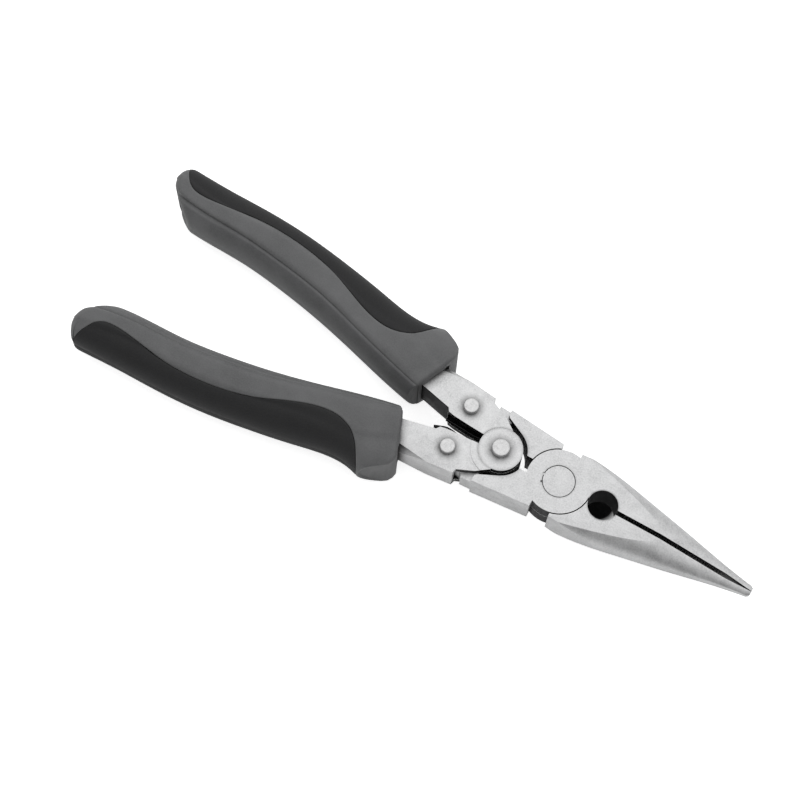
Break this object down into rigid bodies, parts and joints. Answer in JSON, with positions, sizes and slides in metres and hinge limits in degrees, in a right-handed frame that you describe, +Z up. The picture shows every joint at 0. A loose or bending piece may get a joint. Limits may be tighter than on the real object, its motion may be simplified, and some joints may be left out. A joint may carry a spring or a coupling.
{
  "type": "needle nose pliers",
  "caption": "Compound-action long nose pliers: two half-round jaws, double-pivot linkage, return spring and two-material moulded grips.",
  "frame": {"origin": "centre of the bounding box at its base, with the tool lying flat on its grips and the jaws closed", "axes": "+X along the tool to the nose tips, +Y to the upper handle, +Z up through the jaw pivot"},
  "size_m": [0.2256, 0.071, 0.02],
  "materials": {
    "jaw_steel": "satin blasted forging",
    "handle_steel": "satin blasted forging",
    "pin_steel": "bright turned",
    "spring_steel": "black oxide",
    "grip_plastic": "fine matt moulding",
    "grip_rubber": "soft matt moulding"
  },
  "bodies": {
    "lower_handle": {"handle_lower": "handle_steel", "link_pin_lower": "pin_steel", "centre_pin": "pin_steel", "centre_spacer": "pin_steel", "return_spring": "spring_steel", "grip_lower": "grip_plastic", "grip_inlay_lower": "grip_rubber"},
    "upper_handle": {"handle_upper": "handle_steel", "link_pin_upper": "pin_steel", "grip_upper": "grip_plastic", "grip_inlay_upper": "grip_rubber"},
    "front_jaw": {"jaw_front": "jaw_steel", "jaw_rivet": "pin_steel"},
    "rear_jaw": {"jaw_rear": "jaw_steel"}
  },
  "joints": [
    {"name": "handle_pivot", "type": "hinge", "parent": "lower_handle", "child": "upper_handle", "pos_m": [0.02535, 0, 0.01], "axis": [0, 0, -1], "range_deg": [0, 30], "deforming": ["return_spring"]},
    {"name": "front_jaw_link", "type": "hinge", "parent": "lower_handle", "child": "front_jaw", "pos_m": [0.01075, -0.0076, 0.01], "axis": [0, 0, -1], "range_deg": [0, 9.2]},
    {"name": "rear_jaw_link", "type": "hinge", "parent": "upper_handle", "child": "rear_jaw", "pos_m": [0.01075, 0.0076, 0.01], "axis": [0, 0, 1], "range_deg": [0, 9.2]}
  ],
  "couplings": [
    {"joint": "front_jaw_link", "follows": "handle_pivot", "ratio": 0.303},
    {"joint": "rear_jaw_link", "follows": "handle_pivot", "ratio": 0.303}
  ]
}
